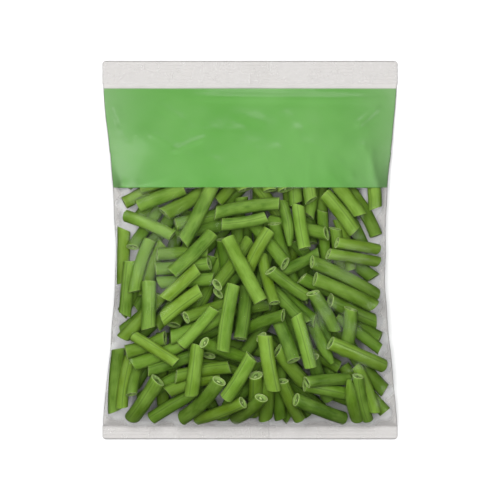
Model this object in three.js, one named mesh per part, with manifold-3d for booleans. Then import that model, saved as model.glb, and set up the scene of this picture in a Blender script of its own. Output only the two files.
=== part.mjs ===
import * as THREE from "three";
import Module from "manifold-3d";

// A clear film bag of cut green beans, lying on its back. Millimetres, +Z up, +Y towards its printed header.
// The origin is under the bag's middle, on the surface that it lies on.

// Film bag
const BAG_LENGTH = 234.4; // from the top edge to the bottom edge
const BAG_WIDTH = 182.2; // the flat width of the film tube, as the seals keep it
const TOP_SEAL = 14.0; // height of the seal across the header
const BOTTOM_SEAL = 7.7;
const FILM = 0.6; // stands in for a film of about 0.05 mm
const CROWN = 43.0; // height of the filled bag above its edges' own level
const EDGE_RISE = 8.0; // how far the side folds lift off the surface
const DRAWN_IN = 7.7; // how far the beans draw each side in
const FULLEST = 2.238; // makes the fullest place 1
const FLAT_SHARE = 0.35; // share of the half-width over which the back lies flat
const FILM_COLUMNS = 16;
const FILM_ROWS = 20;
const VENT_RADIUS = 3.0;
const VENT_SPACING = 36.0;
const VENT_Y = 72.0; // behind the header band

// Bean pieces
const MOST_BEND = 1.6; // how far a piece's middle stands out of line
const MOST_SLANT = 0.45; // slope of a cut end
const FLATTENED = 0.94; // a pod's narrow width over its broad one
const TIP_SHARE = 0.3; // radius of a pod's tip over the rest
const SIDES = 8;
const ONE_PIECE_FACES = 70; // the most triangles that a piece on its own has

// How the pieces lie
const CLEAR = 0.65; // between the pieces of two nodes
const NEAR = 2.5; // a gap within which two pieces may meet before the next look
const PRESSED = 1.4; // how deep the pieces of one node press into each other
const FILM_CLEAR = 1.3; // between a piece and the film's inner face, in front
const FLOOR_CLEAR = 0.5; // the same, behind
const SIDE_SHARE = 0.7; // where on a piece's round side its room is looked at as well
const BEANS_TOP = 73.0; // how far towards the top seal they reach
const INWARD = 0.01; // share of its way to the middle that a point moves for room
const SPOTS = 12; // places along a piece where what lies under it is felt for
const STEEPEST = 0.5; // slope of a piece
const SLOPES = 8; // slopes tried on each side of level
const LOWER = 0.05; // how much lower a piece must lie for a steeper slope to be taken
const STEPS = 800;
const WEIGHT = 0.06; // how far a piece sinks in a step
const LOOSE = 2.8; // how much higher the film stands at first
const DRAWN_SHARE = 0.6; // share of the steps in which the film draws in
const LOOK_AGAIN = 10; // steps between two looks at which pieces are near each other
const WEIGHTLESS = 0.2; // share of the steps, at the end, in which the pieces no longer sink
const LET_GO = 0.15; // the same, in which they are no longer held to their place in plan
const HOLD_FADE = 0.3; // share of the steps over which that hold fades before it ends
const HOLD = [0.3, 0.12, 0.02, 0.0]; // share of the way back to its place in plan in a step, by layer
const END_PENALTY = 2.0; // how much less welcome a joint at a piece's cut end is, as a gap
const AT_END = 0.02; // share of a segment within which its end counts as the spot
const LARGEST_CLUSTER = 8;

// The pieces that show from the front, as [x, y, x, y, width]: the two ends' places in plan, and the width.
// A piece whose second end is hidden goes on past it. The topmost piece of a layer comes first.
const TOP_PIECES = [
  [-14, -2, 12, -32, 9], [-10, -20, -18, -60, 8.5], [-4, -22, -6, -51, 8.5], [-25, 18, 14, 20, 8],
  [-20, 9, 7, 12, 7.5], [10, 9, -4, -10, 8], [-33, 44, -4, 32, 9], [3, 33, 4, 51, 8],
  [16, 29, 11, 50, 9.5], [-22, 31, -46, -4, 9], [37, -10, 77, -30, 8], [33, -17, 68, -32, 8.7],
  [35, -1, 70, 1, 7], [32, -4, 28, 21, 8], [45, 40, 73, 19, 8.7], [47, 30, 70, 12, 8.7],
  [43, 24, 39, 48, 8.5], [44, -53, 77, -70, 8.7], [55, -32, 67, -60, 8.7], [38, -29, 48, -38, 8],
  [33, -30, 12, -13, 7.5], [-62, 18, -41, 35, 8.7], [-54, -26, -29, -16, 8],
  [-52, -38, -31, -25, 8.7], [-64, -46, -58, -21, 9], [-81, -61, -58, -51, 8.7],
  [-48, -74, -72, -94, 9.5], [-19, -73, -43, -103, 9], [4, -68, -15, -90, 8.7],
  [13, -50, 10, -84, 9], [23, -76, 51, -97, 8.4], [15, -76, 34, -97, 8], [31, -40, 33, -72, 8],
];
const SECOND_PIECES = [
  [14, -29, 5, -8, 7], [19, -12, 7, 1, 8], [37, -42, 14, -23, 8], [-28, -19, -2, 4, 8],
  [-22, -23, -6, -11, 8], [-23, 15, -40, -15, 8.7], [75, -45, 60, -36, 8.7], [81, -1, 62, 6, 7],
  [28, 24, 37, 37, 7.5], [17, 33, 25, 3, 7], [48, -7, 27, -7, 7], [73, 14, 65, -17, 7],
  [11, 16, 27, -21, 8], [56, 11, 59, -18, 7.5], [-62, 31, -42, 41, 8], [-62, 12, -37, 14, 7.5],
  [-59, 2, -43, 0, 8], [-62, -10, -42, -9, 8], [-60, -18, -40, -17, 8], [-65, -11, -69, -31, 8],
  [-34, -29, -39, -45, 7.5], [-16, -24, -37, -41, 7.5], [-20, -34, -45, -56, 9],
  [-33, -57, -9, -68, 7.5], [22, -41, -2, -51, 7.5], [15, -42, 21, -58, 8.7], [23, -36, 25, -56, 7],
  [75, -66, 70, -45, 7], [60, -95, 62, -76, 8], [68, -95, 70, -71, 7], [73, -94, 75, -69, 7],
  [63, -73, 36, -81, 7.5], [58, -82, 40, -86, 8], [4, -69, 1, -84, 8], [2, -105, 1, -84, 8.7],
  [13, -106, 7, -84, 8.7], [-2, -89, -33, -103, 7.5], [-49, -95, -34, -90, 8],
  [-42, -86, -25, -78, 8], [-44, -81, -39, -63, 8.7], [-68, -61, -51, -66, 7],
  [-74, -62, -56, -56, 8], [-74, -85, -77, -62, 7.5], [-62, -75, -52, -71, 8],
  [-64, -93, -45, -86, 8], [-63, -100, -45, -98, 8], [20, -63, 30, -74, 9], [-78, 24, -62, 32, 8],
  [-74, 12, -75, -7, 8], [-62, 11, -64, -4, 8], [-56, 2, -64, -11, 8],
];
const THIRD_PIECES = [
  [42, -47, 25, -34, 8], [47, 22, 52, -11, 7], [66, 33, 59, 43, 8], [-45, 24, -31, 19, 8],
  [-41, -59, -21, -47, 8], [9, -37, -2, -36, 8], [46, -41, 47, -55, 8], [51, -56, 50, -40, 8],
  [37, -101, 45, -84, 8], [25, -101, 28, -90, 8], [-6, -105, -2, -92, 8], [-13, -101, -1, -93, 8],
  [-33, -69, -15, -74, 8], [-68, -84, -66, -63, 7], [-53, -50, -40, -41, 8], [11, -88, 24, -95, 8],
  [-48, 16, -24, 18, 8], [-82, -6, -80, -30, 7.5], [-70, 36, -80, 18, 7.5], [34, -69, 53, -71, 8],
  [-71, 1, -72, -14, 8], [-74, -11, -77, -25, 8], [-75, -31, -79, -48, 8],
];
const SHORTEST = [26, 30, 31]; // of a piece, in each of the three layers
const BACK_COLUMNS = 8; // the hidden back layer is a jittered grid of pieces
const BACK_ROWS = 8;
const BACK_WIDTH = 158;
const BACK_BOTTOM = -93;
const BACK_TOP = 64;
const BACK_LENGTHS = [32, 44];
const BACK_WIDTHS = [7.6, 9.2];
const BACK_TRIES = 6; // directions tried for a hidden piece, to find the one that lies lowest
const TIPPED = [42, 61, 90, 96]; // the pieces that end in a pod's tip, counted from 0

const GREEN = new THREE.Color(0.24, 0.42, 0.08);
const FILM_GREY = new THREE.Color(0.9, 0.9, 0.89);
const SEED = 3505;

const wasm = await Module();
wasm.setup();

// Lehmer's generator, so that every run draws the same numbers.
let state = SEED;
function draw(low, high) {
  state = (state * 16807) % 2147483647;
  return low + (high - low) * (state / 2147483647);
}

// The bag's own form: how full it is from the bottom seal, at 0, to the top seal, at 1.
const SEAL_LOW = -BAG_LENGTH / 2 + BOTTOM_SEAL;
const SEAL_HIGH = BAG_LENGTH / 2 - TOP_SEAL;
const along = (y) => Math.min(1, Math.max(0, (y - SEAL_LOW) / (SEAL_HIGH - SEAL_LOW)));
function fullness(y) {
  const root = Math.sqrt(along(y));
  return FULLEST * Math.sqrt(root * Math.sqrt(root)) * (1 - along(y));
}

function halfWidth(y) {
  const q = 4 * along(y) * (1 - along(y));
  return BAG_WIDTH / 2 - DRAWN_IN * q * Math.sqrt(q);
}

// Heights of the film's outer faces at u, from -1 to 1 across the bag.
const edgeHeight = (y) => FILM + EDGE_RISE * fullness(y);
const frontHeight = (u, y) => edgeHeight(y) + FILM + (CROWN - EDGE_RISE) * fullness(y) * Math.sqrt(1 - u * u);

function backHeight(u, y) {
  const v = Math.max(0, (Math.abs(u) - FLAT_SHARE) / (1 - FLAT_SHARE));
  return EDGE_RISE * fullness(y) * (1 - Math.sqrt(1 - v * v));
}

function solid(vertices, triangles) {
  return new wasm.Manifold(
    new wasm.Mesh({
      numProp: 3,
      vertProperties: new Float32Array(vertices.flat()),
      triVerts: new Uint32Array(triangles.flat()),
    }),
  );
}

// A closed form between a front and a back sheet over rows of y. Its rim is a wall, or the two rims joined.
function pillow(rows, width, front, back, rimJoined) {
  const vertices = [];
  const onRim = (i, j) => i === 0 || j === 0 || i === rows.length - 1 || j === FILM_COLUMNS;
  const sheet = (height, known) =>
    rows.map((y, i) =>
      Array.from({ length: FILM_COLUMNS + 1 }, (_, j) => {
        if (known && rimJoined && onRim(i, j)) return known[i][j];
        const u = Math.sin((Math.PI / 2) * ((2 * j) / FILM_COLUMNS - 1));
        return vertices.push([u * width(y), y, height(u, y)]) - 1;
      }),
    );
  const top = sheet(front);
  const bottom = sheet(back, top);
  const triangles = [];
  const face = (a, b, c) => {
    if (a !== b && b !== c && c !== a) triangles.push([a, b, c]);
  };
  for (let i = 0; i + 1 < rows.length; i++)
    for (let j = 0; j < FILM_COLUMNS; j++) {
      face(top[i][j], top[i][j + 1], top[i + 1][j + 1]);
      face(top[i][j], top[i + 1][j + 1], top[i + 1][j]);
      face(bottom[i][j], bottom[i + 1][j + 1], bottom[i][j + 1]);
      face(bottom[i][j], bottom[i + 1][j], bottom[i + 1][j + 1]);
    }
  if (!rimJoined) {
    const last = rows.length - 1;
    const rim = [];
    for (let j = 0; j < FILM_COLUMNS; j++) rim.push([0, j]);
    for (let i = 0; i < last; i++) rim.push([i, FILM_COLUMNS]);
    for (let j = FILM_COLUMNS; j > 0; j--) rim.push([last, j]);
    for (let i = last; i > 0; i--) rim.push([i, 0]);
    rim.forEach(([i, j], n) => {
      const [k, l] = rim[(n + 1) % rim.length];
      face(bottom[i][j], bottom[k][l], top[k][l]);
      face(bottom[i][j], top[k][l], top[i][j]);
    });
  }
  return solid(vertices, triangles);
}

function bag() {
  const filled = [];
  for (let i = 0; i <= FILM_ROWS; i++) filled.push(SEAL_LOW + (SEAL_HIGH - SEAL_LOW) * (i / FILM_ROWS) ** 2);
  const rows = [-BAG_LENGTH / 2, ...filled, BAG_LENGTH / 2];
  const outer = pillow(rows, halfWidth, frontHeight, backHeight, false);
  const inner = pillow(
    filled,
    (y) => halfWidth(y) - FILM,
    (u, y) => frontHeight(u, y) - FILM,
    (u, y) => backHeight(u, y) + FILM,
    true,
  );
  const vents = [-1, 1].map((side) => {
    const post = new THREE.CylinderGeometry(VENT_RADIUS, VENT_RADIUS, 8 * FILM, SIDES);
    post.rotateX(Math.PI / 2).translate((side * VENT_SPACING) / 2, VENT_Y, 0);
    return fromGeometry(post);
  });
  return vents.reduce((film, post) => film.subtract(post), outer.subtract(inner));
}

// A three.js geometry as a solid, with its corners shared again.
function fromGeometry(geometry) {
  const at = geometry.getAttribute("position");
  const seen = new Map();
  const vertices = [];
  const shared = Array.from({ length: at.count }, (_, i) => {
    const corner = [at.getX(i), at.getY(i), at.getZ(i)];
    const key = corner.map((c) => c.toFixed(4)).join();
    if (!seen.has(key)) seen.set(key, vertices.push(corner) - 1);
    return seen.get(key);
  });
  const index = Array.from(geometry.index.array, (i) => shared[i]);
  const triangles = [];
  for (let i = 0; i < index.length; i += 3) {
    const [a, b, c] = index.slice(i, i + 3);
    if (a !== b && b !== c && c !== a) triangles.push([a, b, c]);
  }
  return solid(vertices, triangles);
}

// Each piece is held by three points on its axis: its two ends and its middle.
function makePiece(ax, ay, bx, by, width, shortest, hold) {
  const bend = draw(-MOST_BEND, MOST_BEND);
  const given = Math.sqrt((bx - ax) * (bx - ax) + (by - ay) * (by - ay));
  const length = Math.max(given, shortest);
  const dx = (bx - ax) / given;
  const dy = (by - ay) / given;
  const points = [
    [ax, ay, 0],
    [ax + (dx * length) / 2 - dy * bend, ay + (dy * length) / 2 + dx * bend, 0],
    [ax + dx * length, ay + dy * length, 0],
  ];
  return {
    points,
    radius: width / 2,
    hold,
    home: points.map((p) => [p[0], p[1]]),
    slants: [draw(-MOST_SLANT, MOST_SLANT), draw(-MOST_SLANT, MOST_SLANT)],
    roll: draw(0, 1),
  };
}

const minus = (p, q) => [p[0] - q[0], p[1] - q[1], p[2] - q[2]];
const dot = (p, q) => p[0] * q[0] + p[1] * q[1] + p[2] * q[2];

function distance(p, q) {
  const between = minus(q, p);
  return Math.sqrt(dot(between, between));
}

function onAxis(piece, i, s) {
  const p = piece.points[i];
  const q = piece.points[i + 1];
  return [p[0] + (q[0] - p[0]) * s, p[1] + (q[1] - p[1]) * s, p[2] + (q[2] - p[2]) * s];
}

// The lowest height at which a piece's axis can pass over the spot (x, y).
function heightOver(x, y, radius, laid) {
  let height = backHeight(Math.min(0.98, Math.abs(x) / halfWidth(y)), y) + FILM + FLOOR_CLEAR + radius;
  for (const other of laid) {
    const reach = radius + other.radius + CLEAR;
    for (let i = 0; i < 2; i++) {
      const p = other.points[i];
      const q = other.points[i + 1];
      const ux = q[0] - p[0];
      const uy = q[1] - p[1];
      const share = Math.min(1, Math.max(0, ((x - p[0]) * ux + (y - p[1]) * uy) / (ux * ux + uy * uy)));
      const ex = x - p[0] - ux * share;
      const ey = y - p[1] - uy * share;
      const square = reach * reach - ex * ex - ey * ey;
      if (square > 0) height = Math.max(height, p[2] + (q[2] - p[2]) * share + Math.sqrt(square));
    }
  }
  return height;
}

// Lays a piece down where it is in plan, at the slope that lets its middle lie lowest. Returns that height.
function layDown(piece, laid) {
  const length = distance(piece.points[0], piece.points[2]);
  const heights = [];
  for (let n = 0; n <= SPOTS; n++) {
    const share = (n * 2) / SPOTS;
    const [x, y] = share < 1 ? onAxis(piece, 0, share) : onAxis(piece, 1, share - 1);
    heights.push(heightOver(x, y, piece.radius, laid));
  }
  let lowest = Infinity;
  let rise = 0;
  for (let n = 0; n <= SLOPES * 2; n++) {
    const slope = ((n % 2 ? -1 : 1) * Math.floor((n + 1) / 2) * STEEPEST) / SLOPES;
    let middle = 0;
    heights.forEach((height, k) => {
      middle = Math.max(middle, height - slope * length * (k / SPOTS - 0.5));
    });
    if (middle < lowest - LOWER) {
      lowest = middle;
      rise = (slope * length) / 2;
    }
  }
  piece.points[0][2] = lowest - rise;
  piece.points[1][2] = lowest;
  piece.points[2][2] = lowest + rise;
  return lowest;
}

// A piece of the hidden back layer: of a few that are tried round the same spot, the one that lies lowest.
function backPiece(x, y, laid) {
  let best = null;
  let lowest = Infinity;
  for (let n = 0; n < BACK_TRIES; n++) {
    let dx;
    let dy;
    let square;
    do {
      dx = draw(-1, 1);
      dy = draw(-1, 1);
      square = dx * dx + dy * dy;
    } while (square > 1 || square < 0.01);
    const half = draw(...BACK_LENGTHS) / 2 / Math.sqrt(square);
    dx *= half;
    dy *= half;
    const piece = makePiece(x - dx, y - dy, x + dx, y + dy, draw(...BACK_WIDTHS), 0, HOLD[3]);
    const height = layDown(piece, laid);
    if (height < lowest) {
      best = piece;
      lowest = height;
    }
  }
  return best;
}

// Lays in the back layer first and the topmost piece last, and returns the pieces with the topmost first.
function layIn() {
  const laid = [];
  for (let j = 0; j < BACK_ROWS; j++)
    for (let i = 0; i < BACK_COLUMNS; i++) {
      const x = ((i + draw(0.2, 0.8)) / BACK_COLUMNS - 0.5) * BACK_WIDTH;
      const y = BACK_BOTTOM + ((j + draw(0.2, 0.8)) / BACK_ROWS) * (BACK_TOP - BACK_BOTTOM);
      laid.push(backPiece(x, y, laid));
    }
  [THIRD_PIECES, SECOND_PIECES, TOP_PIECES].forEach((layer, above) => {
    const depth = 2 - above;
    for (const [ax, ay, bx, by, width] of layer.toReversed()) {
      const piece = makePiece(ax, ay, bx, by, width, SHORTEST[depth], HOLD[depth]);
      layDown(piece, laid);
      laid.push(piece);
    }
  });
  for (const piece of laid)
    piece.rods = [[0, 1], [1, 2], [0, 2]].map(([i, j]) => [i, j, distance(piece.points[i], piece.points[j])]);
  return laid.toReversed();
}

// The lowest and highest place of a piece's axis at (x, y), with room for its round side inside the film.
function heights(x, y, radius, slack) {
  const front = radius + FILM_CLEAR;
  const back = radius + FLOOR_CLEAR;
  const u = Math.abs(x) / halfWidth(y);
  const outward = Math.min(0.99, u + (SIDE_SHARE * front) / halfWidth(y));
  const above = (share, along) => frontHeight(share, along) * slack - FILM;
  const high = Math.min(
    above(u, y) - front,
    above(outward, y) - SIDE_SHARE * front,
    above(u, y - SIDE_SHARE * front) - SIDE_SHARE * front,
  );
  return [FILM + Math.max(backHeight(u, y) + back, backHeight(outward, y) + SIDE_SHARE * back), high];
}

// Keeps a point of a piece's axis inside the film, moved towards the bag's middle where there is no room.
function keepInside(p, radius, slack) {
  const front = radius + FILM_CLEAR;
  p[1] = Math.min(BEANS_TOP, Math.max(SEAL_LOW + front, p[1]));
  const limit = halfWidth(p[1]) - front;
  p[0] = Math.min(limit, Math.max(-limit, p[0]));
  let [low, high] = heights(p[0], p[1], radius, slack);
  while (low > high) {
    p[0] -= p[0] * INWARD;
    p[1] -= p[1] * INWARD;
    [low, high] = heights(p[0], p[1], radius, slack);
  }
  p[2] = Math.max(low, Math.min(high, p[2]));
}

// Where along two axis segments they come closest, as the shares s and t.
function closest(p0, p1, q0, q1) {
  const u = minus(p1, p0);
  const v = minus(q1, q0);
  const w = minus(p0, q0);
  const a = dot(u, u);
  const b = dot(u, v);
  const c = dot(v, v);
  const d = dot(u, w);
  const e = dot(v, w);
  const denominator = a * c - b * b;
  let s = denominator > 1e-9 ? (b * e - c * d) / denominator : 0.5;
  s = Math.min(1, Math.max(0, s));
  let t = (b * s + e) / c;
  if (t < 0 || t > 1) {
    t = Math.min(1, Math.max(0, t));
    s = Math.min(1, Math.max(0, (b * t - d) / a));
  }
  return [s, t];
}

// The two segments of a pair of pieces that come closest: [gap between their skins, i, s, j, t].
function nearest(one, two) {
  let best = null;
  for (let i = 0; i < 2; i++)
    for (let j = 0; j < 2; j++) {
      const [s, t] = closest(one.points[i], one.points[i + 1], two.points[j], two.points[j + 1]);
      const gap = distance(onAxis(one, i, s), onAxis(two, j, t)) - one.radius - two.radius;
      if (!best || gap < best[0]) best = [gap, i, s, j, t];
    }
  return best;
}

// Moves the spot at share s of segment i by step times direction.
function shift(piece, i, s, direction, step) {
  const first = (1 - s) / ((1 - s) * (1 - s) + s * s);
  const second = s / ((1 - s) * (1 - s) + s * s);
  for (let k = 0; k < 3; k++) {
    piece.points[i][k] += direction[k] * step * first;
    piece.points[i + 1][k] += direction[k] * step * second;
  }
}

const atEnd = (i, s) => i + s < AT_END || i + s > 2 - AT_END;

// How much less far a piece's flat cut end reaches along a direction than a round one would.
function flatLoss(piece, i, s, direction) {
  if (!atEnd(i, s)) return 0;
  const p = piece.points[i];
  const q = piece.points[i + 1];
  const cosine = dot(minus(q, p), direction) / distance(p, q);
  return piece.radius * (1 - Math.sqrt(Math.max(0, 1 - cosine * cosine)));
}

// Two pieces are moved apart until they are clear, or drawn to where they press into each other.
function meet(one, two, pressed) {
  const [gap, i, s, j, t] = nearest(one, two);
  if (!pressed && gap >= CLEAR) return;
  const p = onAxis(one, i, s);
  const q = onAxis(two, j, t);
  const length = distance(p, q);
  const direction = length > 1e-6 ? minus(q, p).map((c) => c / length) : [0, 0, -1];
  const flats = flatLoss(one, i, s, direction) + flatLoss(two, j, t, direction);
  const wanted = pressed ? -PRESSED - flats : CLEAR;
  shift(one, i, s, direction, -(wanted - gap) / 2);
  shift(two, j, t, direction, (wanted - gap) / 2);
}

function keepShape(piece) {
  for (const [i, j, rest] of piece.rods) {
    const p = piece.points[i];
    const q = piece.points[j];
    const share = (distance(p, q) - rest) / distance(p, q) / 2;
    for (let k = 0; k < 3; k++) {
      const step = (q[k] - p[k]) * share;
      p[k] += step;
      q[k] -= step;
    }
  }
}

// The pairs whose middles are near enough to touch.
function neighbours(pieces) {
  const pairs = [];
  for (let a = 0; a < pieces.length; a++)
    for (let b = a + 1; b < pieces.length; b++) {
      const reach = (pieces[a].rods[2][2] + pieces[b].rods[2][2]) / 2 + 12;
      if (distance(pieces[a].points[1], pieces[b].points[1]) > reach) continue;
      if (nearest(pieces[a], pieces[b])[0] < NEAR) pairs.push([a, b]);
    }
  return pairs;
}

// Lets the laid pieces sink as the film draws in round them, and then moves them clear of each other.
// In the calm run the film is in place and nothing pulls at them, and the pressed pairs, each as "a,b", are
// drawn into each other.
function settle(pieces, calm, pressed) {
  let pairs = [];
  for (let step = 0; step < STEPS; step++) {
    if (step % LOOK_AGAIN === 0) pairs = neighbours(pieces);
    const slack = calm ? 1 : 1 + LOOSE * Math.max(0, 1 - step / (DRAWN_SHARE * STEPS));
    const left = 1 - step / STEPS;
    const held = Math.max(0, Math.min(1, (left - LET_GO) / HOLD_FADE));
    for (const piece of calm ? [] : pieces)
      for (let k = 0; k < 3; k++) {
        const p = piece.points[k];
        if (left > WEIGHTLESS) p[2] -= WEIGHT;
        p[0] += (piece.home[k][0] - p[0]) * piece.hold * held;
        p[1] += (piece.home[k][1] - p[1]) * piece.hold * held;
      }
    for (const [a, b] of pairs) meet(pieces[a], pieces[b], pressed.has(a + "," + b));
    for (const piece of pieces) {
      keepShape(piece);
      for (const p of piece.points) keepInside(p, piece.radius, slack);
    }
  }
}

// Groups the pieces under the top layer into clusters that touch. Returns them and the pairs that join them.
function cluster(pieces) {
  const group = pieces.map((_, i) => [i]);
  const joined = new Set();
  const found = neighbours(pieces)
    .filter(([a]) => a >= TOP_PIECES.length)
    .map(([a, b]) => {
      const [gap, i, s, j, t] = nearest(pieces[a], pieces[b]);
      const ends = (atEnd(i, s) ? 1 : 0) + (atEnd(j, t) ? 1 : 0);
      return [gap + ends * END_PENALTY, a, b];
    })
    .sort((p, q) => p[0] - q[0]);
  for (const [, a, b] of found) {
    if (group[a] === group[b] || group[a].length + group[b].length > LARGEST_CLUSTER) continue;
    const both = [...group[a], ...group[b]];
    for (const i of both) group[i] = both;
    joined.add(a + "," + b);
  }
  return [[...new Set(group)], joined];
}

// A piece as a solid: rings round its axis, with slanted cut ends.
function beanSolid(piece, tipped) {
  const [a, m, b] = piece.points.map((p) => new THREE.Vector3(...p));
  const handle = m.clone().multiplyScalar(2).sub(a.clone().add(b).divideScalar(2));
  const curve = new THREE.QuadraticBezierCurve3(a, handle, b);
  const shares = tipped ? [0, 0.5, 0.85, 1] : [0, 0.5, 1];
  const side = new THREE.Vector3().crossVectors(b.clone().sub(a), new THREE.Vector3(0, 0, 1)).normalize();
  const vertices = [];
  shares.forEach((share, ring) => {
    const centre = curve.getPoint(share);
    const tangent = curve.getTangent(share);
    const across = side.clone().addScaledVector(tangent, -side.dot(tangent)).normalize();
    const up = new THREE.Vector3().crossVectors(across, tangent);
    const tapered = tipped ? Math.max(0, 2 * share - 1) ** 2 : 0;
    const size = piece.radius * (1 - (1 - TIP_SHARE) * tapered);
    const slant = share === 0 ? piece.slants[0] : share === 1 && !tipped ? piece.slants[1] : 0;
    for (let k = 0; k < SIDES; k++) {
      const angle = (2 * Math.PI * (k + piece.roll)) / SIDES;
      const x = size * Math.cos(angle);
      const y = size * Math.sin(angle) * FLATTENED;
      const spot = centre.clone().addScaledVector(across, x).addScaledVector(up, y);
      vertices.push(spot.addScaledVector(tangent, x * slant).toArray());
    }
  });
  const triangles = [];
  const last = (shares.length - 1) * SIDES;
  for (let k = 0; k < SIDES; k++) {
    const next = (k + 1) % SIDES;
    for (let ring = 0; ring < last; ring += SIDES) {
      triangles.push([ring + k, ring + SIDES + next, ring + next]);
      triangles.push([ring + k, ring + SIDES + k, ring + SIDES + next]);
    }
    if (k > 0 && k < SIDES - 1) {
      triangles.push([0, k, k + 1]);
      triangles.push([last, last + k + 1, last + k]);
    }
  }
  return solid(vertices, triangles);
}

function toMesh(name, made, material) {
  const mesh = made.getMesh();
  const geometry = new THREE.BufferGeometry();
  geometry.setAttribute("position", new THREE.BufferAttribute(mesh.vertProperties, 3));
  geometry.setIndex(new THREE.BufferAttribute(mesh.triVerts, 1));
  geometry.computeVertexNormals();
  const object = new THREE.Mesh(geometry, material);
  object.name = name;
  return object;
}

const filmMaterial = new THREE.MeshStandardMaterial({ color: FILM_GREY, transparent: true, opacity: 0.3 });
const beanMaterial = new THREE.MeshStandardMaterial({ color: GREEN });

const pieces = layIn();
settle(pieces, false, new Set());
const [clusters, joined] = cluster(pieces);
settle(pieces, true, joined);

const group = new THREE.Group();
group.add(toMesh("film_bag", bag(), filmMaterial));
const counts = { bean: 0, bean_cluster: 0 };
for (const members of clusters) {
  const solids = members.map((i) => beanSolid(pieces[i], TIPPED.includes(i)));
  const made = solids.reduce((all, one) => all.add(one));
  // A joint that came apart as the pieces moved leaves more than one body here.
  for (const body of made.decompose()) {
    const kind = body.numTri() > ONE_PIECE_FACES ? "bean_cluster" : "bean";
    counts[kind] += 1;
    group.add(toMesh(`${kind}_${String(counts[kind]).padStart(2, "0")}`, body, beanMaterial));
  }
}

export default group;
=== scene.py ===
"""A clear film bag of cut green beans, lying on its back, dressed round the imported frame.

Lengths in the tables and in the layout rule are millimetres; MM turns them into Blender's metres.
+Y points to the printed header, +Z up out of the bag's front.
"""

import math

import bmesh
import bpy
import numpy as np
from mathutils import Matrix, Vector
from mathutils.kdtree import KDTree


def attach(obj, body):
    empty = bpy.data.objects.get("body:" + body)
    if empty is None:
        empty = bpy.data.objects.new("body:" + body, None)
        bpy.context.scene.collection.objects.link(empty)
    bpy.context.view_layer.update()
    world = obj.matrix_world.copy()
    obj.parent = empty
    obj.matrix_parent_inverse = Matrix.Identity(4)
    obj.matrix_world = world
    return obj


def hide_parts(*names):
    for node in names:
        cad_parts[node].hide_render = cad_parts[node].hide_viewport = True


MM = 0.001
ROOT = "root"

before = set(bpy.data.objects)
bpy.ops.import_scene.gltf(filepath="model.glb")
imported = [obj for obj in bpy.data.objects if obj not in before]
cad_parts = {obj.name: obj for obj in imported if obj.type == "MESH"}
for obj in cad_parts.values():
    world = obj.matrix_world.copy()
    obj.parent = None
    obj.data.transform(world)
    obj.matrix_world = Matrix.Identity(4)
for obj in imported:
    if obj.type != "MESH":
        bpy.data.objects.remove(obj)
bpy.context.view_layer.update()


# The frame's rule: the bag's form, and how the pieces lie. It repeats what made the solids, with the same
# numbers and in the same order, so that each piece is dressed where its solid is.

BAG_LENGTH = 234.4
BAG_WIDTH = 182.2
TOP_SEAL = 14.0
BOTTOM_SEAL = 7.7
FILM = 0.6
CROWN = 43.0
EDGE_RISE = 8.0
DRAWN_IN = 7.7
FULLEST = 2.238
FLAT_SHARE = 0.35

MOST_BEND = 1.6
MOST_SLANT = 0.45
FLATTENED = 0.94
TIP_SHARE = 0.3
SIDES = 8

CLEAR = 0.65
NEAR = 2.5
PRESSED = 1.4
FILM_CLEAR = 1.3
FLOOR_CLEAR = 0.5
SIDE_SHARE = 0.7
BEANS_TOP = 73.0
INWARD = 0.01
SPOTS = 12
STEEPEST = 0.5
SLOPES = 8
LOWER = 0.05
STEPS = 800
WEIGHT = 0.06
LOOSE = 2.8
DRAWN_SHARE = 0.6
LOOK_AGAIN = 10
WEIGHTLESS = 0.2
LET_GO = 0.15
HOLD_FADE = 0.3
HOLD = [0.3, 0.12, 0.02, 0.0]
END_PENALTY = 2.0
AT_END = 0.02
LARGEST_CLUSTER = 8
REACH = 12

# The pieces that show from the front, as (x, y, x, y, width), the topmost of a layer first.
TOP_PIECES = [
    (-14, -2, 12, -32, 9), (-10, -20, -18, -60, 8.5), (-4, -22, -6, -51, 8.5), (-25, 18, 14, 20, 8),
    (-20, 9, 7, 12, 7.5), (10, 9, -4, -10, 8), (-33, 44, -4, 32, 9), (3, 33, 4, 51, 8),
    (16, 29, 11, 50, 9.5), (-22, 31, -46, -4, 9), (37, -10, 77, -30, 8), (33, -17, 68, -32, 8.7),
    (35, -1, 70, 1, 7), (32, -4, 28, 21, 8), (45, 40, 73, 19, 8.7), (47, 30, 70, 12, 8.7),
    (43, 24, 39, 48, 8.5), (44, -53, 77, -70, 8.7), (55, -32, 67, -60, 8.7), (38, -29, 48, -38, 8),
    (33, -30, 12, -13, 7.5), (-62, 18, -41, 35, 8.7), (-54, -26, -29, -16, 8), (-52, -38, -31, -25, 8.7),
    (-64, -46, -58, -21, 9), (-81, -61, -58, -51, 8.7), (-48, -74, -72, -94, 9.5), (-19, -73, -43, -103, 9),
    (4, -68, -15, -90, 8.7), (13, -50, 10, -84, 9), (23, -76, 51, -97, 8.4), (15, -76, 34, -97, 8),
    (31, -40, 33, -72, 8),
]
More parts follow.
